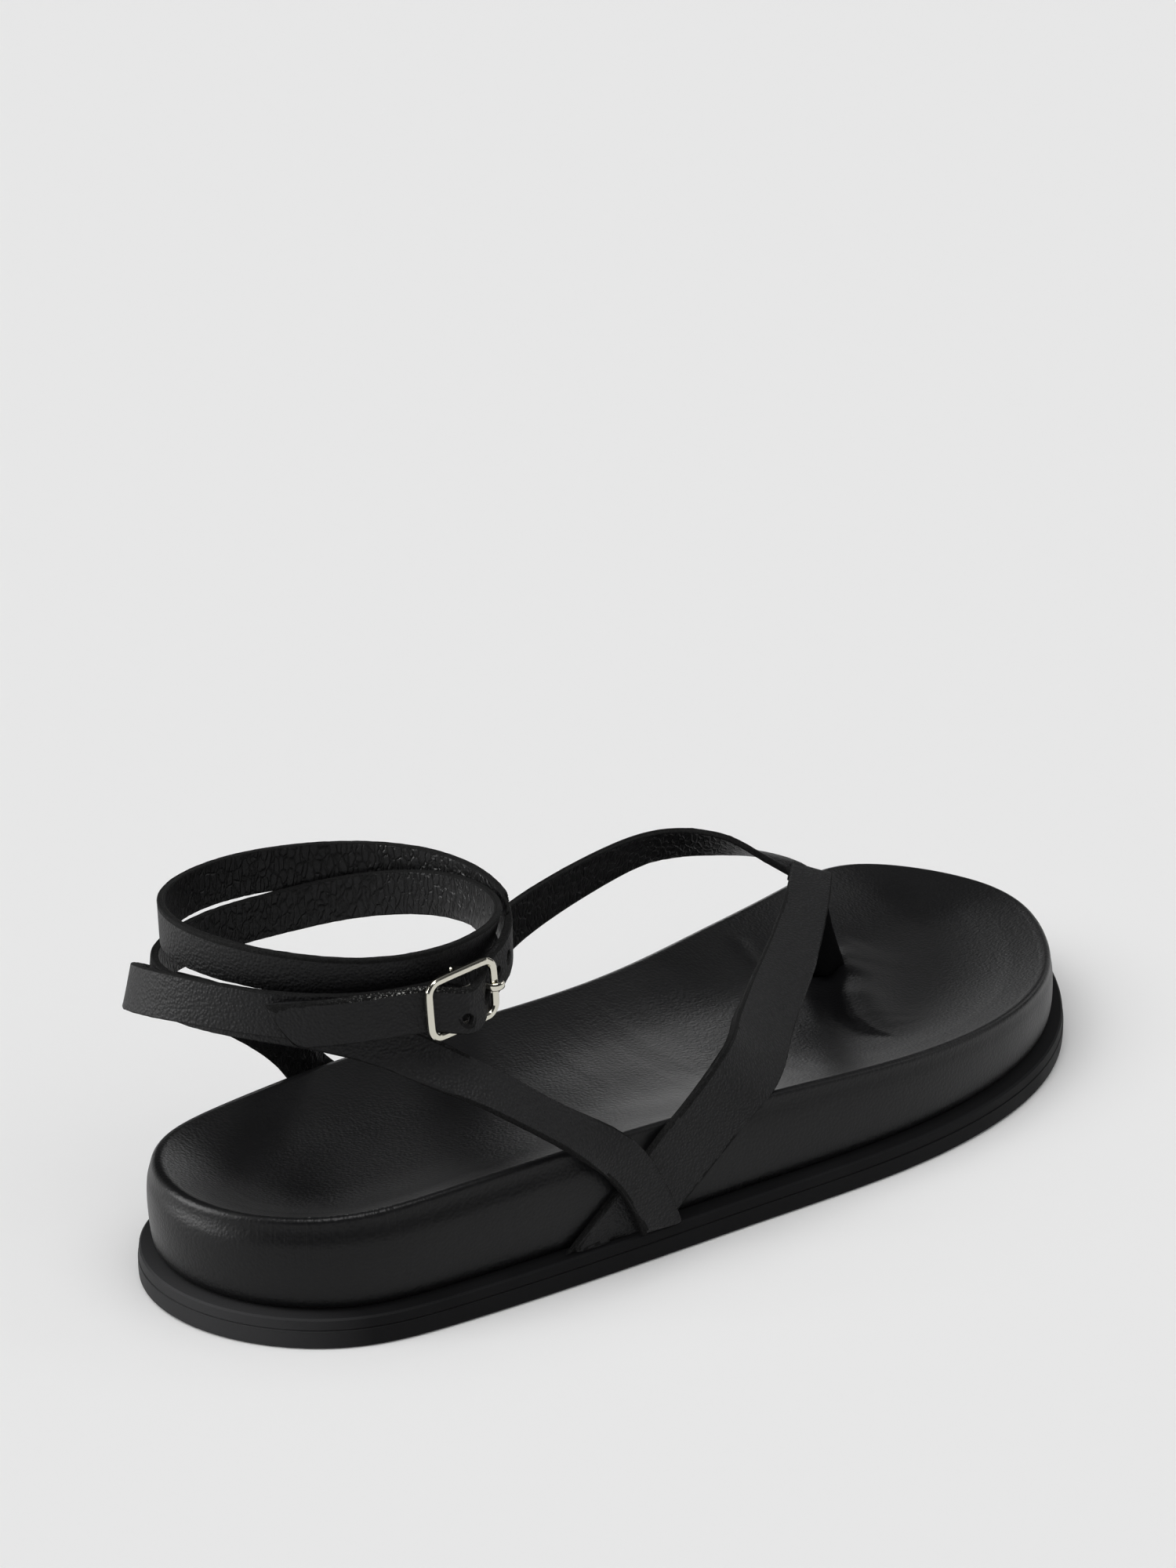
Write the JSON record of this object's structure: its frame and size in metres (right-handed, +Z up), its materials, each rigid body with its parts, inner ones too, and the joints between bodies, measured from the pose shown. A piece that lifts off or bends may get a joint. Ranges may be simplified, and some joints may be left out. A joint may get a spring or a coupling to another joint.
{
  "type": "platform sandal",
  "caption": "Women's right platform sandal: leather-wrapped contoured sole on a rubber outsole, toe-post strap and a wound ankle strap with a small buckle.",
  "frame": {"origin": "on the floor plane under the middle of the sole, on the heel-to-toe line of the frame", "axes": "+X from heel to toe, +Y to the inner (medial) side, +Z up; floor at Z = 0"},
  "size_m": [0.2666, 0.1013, 0.079],
  "materials": {
    "outsole_rubber": "matt moulded side with a fine parting line",
    "wrap_leather": "fine-grained, soft sheen",
    "strap_leather": "fine pebble grain outside, fibrous inside, raw cut edges",
    "buckle_metal": "polished"
  },
  "bodies": {
    "root": {"outsole": "outsole_rubber", "platform": "wrap_leather", "toe_strap": "strap_leather", "ankle_strap_long": "strap_leather", "ankle_strap_short": "strap_leather", "buckle_frame": "buckle_metal", "buckle_prong": "buckle_metal"}
  },
  "joints": []
}
